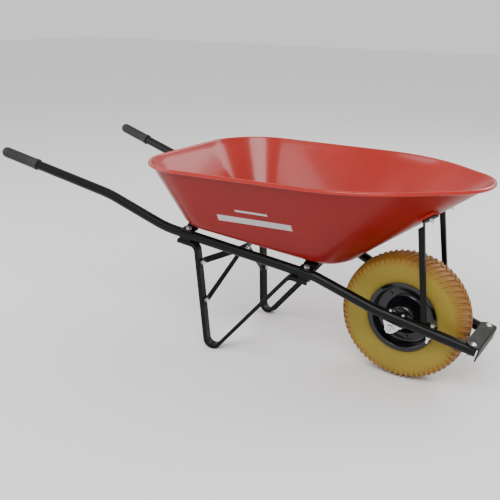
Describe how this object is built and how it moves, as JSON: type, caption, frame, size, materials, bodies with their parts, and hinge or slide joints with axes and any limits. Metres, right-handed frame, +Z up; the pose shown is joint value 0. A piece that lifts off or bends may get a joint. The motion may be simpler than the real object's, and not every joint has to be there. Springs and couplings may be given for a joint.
{
  "type": "wheelbarrow",
  "caption": "Contractor's wheelbarrow: deep pressed steel tray on bent tube handles, channel legs, nose guard and a solid-tyred disc wheel rolling on a through axle.",
  "frame": {"origin": "on the ground, below the middle of the overall length and width", "axes": "+X forward towards the wheel and nose guard, +Y to the left of the person pushing, +Z up"},
  "size_m": [1.676, 0.6742, 0.6459],
  "materials": {
    "tray_paint": "glossy red enamel on pressed sheet",
    "tube_paint": "glossy black enamel",
    "frame_paint": "satin black paint",
    "guard_paint": "dark grey worn paint",
    "rim_paint": "glossy black enamel",
    "grip_rubber": "matt moulded charcoal",
    "bush_plastic": "moulded nylon",
    "tyre_foam": "matt yellow solid foam with small lugs",
    "zinc_plate": "bright zinc plate",
    "axle_steel": "bright drawn steel"
  },
  "bodies": {
    "frame": {"axle": "axle_steel", "axle_bracket_left": "zinc_plate", "axle_bracket_right": "zinc_plate", "axle_nuts": "zinc_plate", "axle_spacers": "zinc_plate", "axle_washers": "zinc_plate", "brace_bolts": "zinc_plate", "brace_nuts": "zinc_plate", "brace_pads": "tray_paint", "bracket_bolts": "zinc_plate", "bracket_nuts": "zinc_plate", "frame_bolts": "zinc_plate", "frame_nuts": "zinc_plate", "front_brace_left": "frame_paint", "front_brace_right": "frame_paint", "front_riser": "frame_paint", "grip_left": "grip_rubber", "grip_right": "grip_rubber", "guard_bolts": "zinc_plate", "guard_nuts": "zinc_plate", "handle_tube_left": "tube_paint", "handle_tube_right": "tube_paint", "leg_left": "frame_paint", "leg_right": "frame_paint", "leg_saddles": "frame_paint", "lower_cross_brace": "frame_paint", "nose_guard": "guard_paint", "rear_riser": "frame_paint", "strap_bolts": "zinc_plate", "strap_nuts": "zinc_plate", "tray": "tray_paint", "tray_bolts": "zinc_plate", "tray_nuts": "zinc_plate", "upper_cross_brace": "frame_paint"},
    "wheel": {"grease_fitting": "zinc_plate", "rim_bolts": "zinc_plate", "rim_half_left": "rim_paint", "rim_half_right": "rim_paint", "rim_nuts": "zinc_plate", "tyre": "tyre_foam", "wheel_bush_left": "bush_plastic", "wheel_bush_right": "bush_plastic", "wheel_hub": "rim_paint"}
  },
  "joints": [
    {"name": "wheel_spin", "type": "hinge", "parent": "frame", "child": "wheel", "pos_m": [0.58, 0, 0.203], "axis": [0, 1, 0], "continuous": true}
  ]
}
